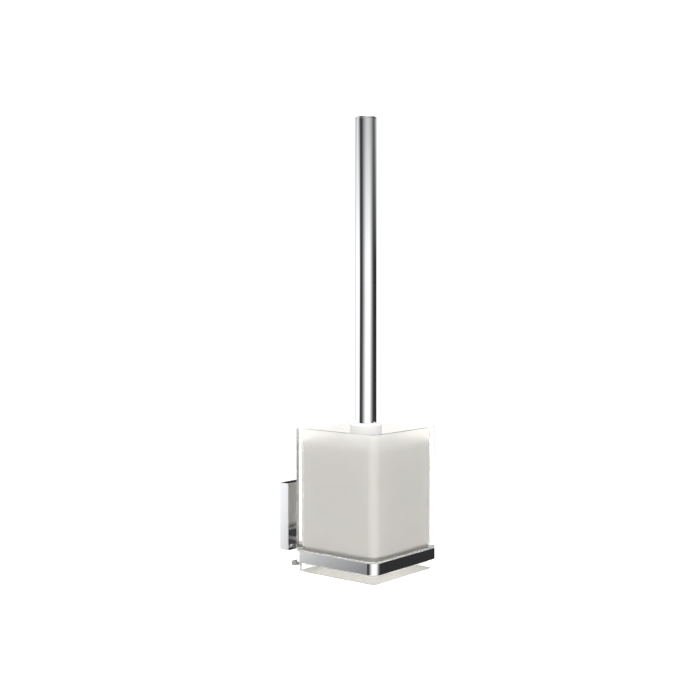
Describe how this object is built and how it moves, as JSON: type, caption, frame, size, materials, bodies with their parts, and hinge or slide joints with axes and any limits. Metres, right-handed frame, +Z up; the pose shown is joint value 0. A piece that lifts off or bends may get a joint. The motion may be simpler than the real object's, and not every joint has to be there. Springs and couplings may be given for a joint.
{
  "type": "toilet brush holder",
  "caption": "Wall-hung toilet brush holder: square satin glass tumbler resting in a chrome ring on an arm and wall plate, with a lift-out brush on a tall round chrome handle.",
  "frame": {"origin": "centre of the wall plate's back face, on the wall's surface", "axes": "+Z up along the brush handle, +Y into the wall, +X to the right as seen from in front of the wall"},
  "size_m": [0.093, 0.1355, 0.404],
  "materials": {
    "chrome": "polished",
    "stainless": "brushed",
    "satin_glass": "satin inside, clear outside",
    "clear_plastic": "translucent",
    "white_plastic": "semi-gloss",
    "liner_plastic": "matt, translucent",
    "soft_rubber": "matt",
    "nylon_bristle": "fine filaments"
  },
  "bodies": {
    "wall_fixing": {"wall_plate": "stainless", "wall_washer_upper": "white_plastic", "wall_washer_lower": "white_plastic", "wall_screw_upper": "stainless", "wall_screw_lower": "stainless"},
    "holder": {"wall_cover": "chrome", "arm": "chrome", "support_bar": "chrome", "arm_screw_left": "stainless", "arm_screw_right": "stainless", "ring_screw_left": "stainless", "ring_screw_right": "stainless", "ring": "chrome", "ring_sleeve": "clear_plastic"},
    "grub": {"grub_screw": "stainless"},
    "tumbler": {"glass_tumbler": "satin_glass", "liner_pad": "soft_rubber"},
    "liner": {"liner_cup": "liner_plastic"},
    "brush": {"handle_tube": "chrome", "handle_cap": "chrome", "handle_insert": "white_plastic", "handle_stud": "stainless", "collar": "white_plastic"},
    "brush_head": {"brush_hub": "white_plastic", "side_bristles": "nylon_bristle", "end_bristles": "nylon_bristle"}
  },
  "joints": [
    {"name": "holder_pull_off", "type": "slide", "parent": "wall_fixing", "child": "holder", "axis": [0, -1, 0], "range_m": [0, 0.016]},
    {"name": "grub_screw_turn", "type": "hinge", "parent": "holder", "child": "grub", "pos_m": [0, -0.004, -0.0275], "axis": [0, 0, -1], "range_deg": [0, 1080]},
    {"name": "tumbler_lift", "type": "slide", "parent": "holder", "child": "tumbler", "axis": [0, 0, 1], "range_m": [0, 0.05]},
    {"name": "liner_lift", "type": "slide", "parent": "tumbler", "child": "liner", "axis": [0, 0, 1], "range_m": [0, 0.13]},
    {"name": "brush_lift", "type": "slide", "parent": "liner", "child": "brush", "axis": [0, 0, 1], "range_m": [0, 0.15]},
    {"name": "head_unscrew", "type": "hinge", "parent": "brush", "child": "brush_head", "pos_m": [0, -0.089, 0.07], "axis": [0, 0, -1], "range_deg": [0, 1440]}
  ]
}
